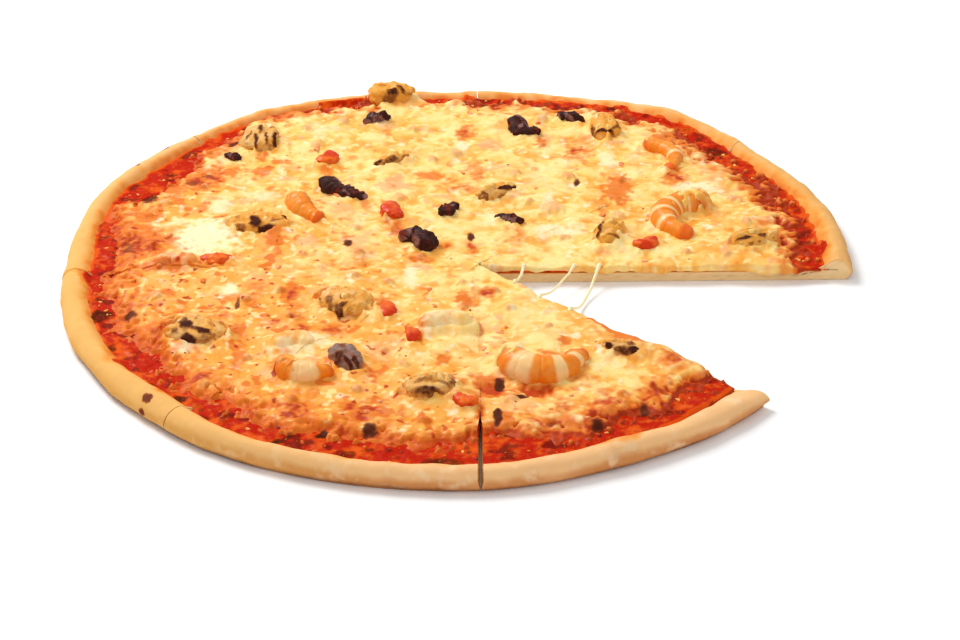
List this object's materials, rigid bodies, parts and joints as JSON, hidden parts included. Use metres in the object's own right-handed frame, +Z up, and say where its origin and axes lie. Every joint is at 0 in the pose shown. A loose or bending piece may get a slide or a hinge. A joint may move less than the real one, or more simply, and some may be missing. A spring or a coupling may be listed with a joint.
{
  "type": "seafood pizza",
  "caption": "Round seafood pizza cut into wedges with one wedge gone: browned rim, tomato sauce, melted cheese, mussels, octopus, prawns, squid and red pepper.",
  "frame": {"origin": "middle of the underside of the box around the pizza, on the surface that it lies on", "axes": "+Z up out of the topped side, +Y towards the back of the picture's view, +X to its right; the gap of the missing wedge is on the +X -Y side"},
  "size_m": [0.315, 0.329, 0.0163],
  "materials": {
    "dough": "baked dough, matt",
    "sauce": "baked tomato sauce, half gloss",
    "cheese": "melted cheese, soft sheen",
    "mussel": "cooked mussel meat, moist",
    "octopus": "cooked octopus, moist",
    "prawn": "cooked prawn, moist",
    "pepper": "roasted red pepper, moist",
    "squid": "cooked squid, moist"
  },
  "bodies": {
    "root": {"dough_slice_1": "dough", "dough_slice_2": "dough", "dough_slice_3": "dough", "dough_slice_4": "dough", "dough_slice_5": "dough", "dough_slice_6": "dough", "dough_slice_7": "dough", "sauce_slice_1": "sauce", "sauce_slice_2": "sauce", "sauce_slice_3": "sauce", "sauce_slice_4": "sauce", "sauce_slice_5": "sauce", "sauce_slice_6": "sauce", "sauce_slice_7": "sauce", "cheese_slice_1": "cheese", "cheese_slice_2": "cheese", "cheese_slice_3": "cheese", "cheese_slice_4": "cheese", "cheese_slice_5": "cheese", "cheese_slice_6": "cheese", "cheese_slice_7": "cheese", "mussel_1": "mussel", "mussel_2": "mussel", "mussel_3": "mussel", "mussel_4": "mussel", "mussel_5": "mussel", "mussel_6": "mussel", "mussel_7": "mussel", "mussel_8": "mussel", "mussel_9": "mussel", "mussel_10": "mussel", "mussel_11": "mussel", "mussel_12": "mussel", "mussel_13": "mussel", "octopus_1": "octopus", "octopus_2": "octopus", "octopus_3": "octopus", "octopus_4": "octopus", "octopus_5": "octopus", "octopus_6": "octopus", "octopus_7": "octopus", "octopus_8": "octopus", "prawn_1": "prawn", "prawn_2": "prawn", "prawn_3": "prawn", "prawn_4": "prawn", "prawn_5": "prawn", "pepper_1": "pepper", "pepper_2": "pepper", "pepper_3": "pepper", "pepper_4": "pepper", "pepper_5": "pepper", "pepper_6": "pepper", "pepper_7": "pepper", "squid_1": "squid", "squid_2": "squid", "squid_3": "squid", "cheese_string_1": "cheese", "cheese_string_2": "cheese", "cheese_string_3": "cheese"}
  },
  "joints": []
}
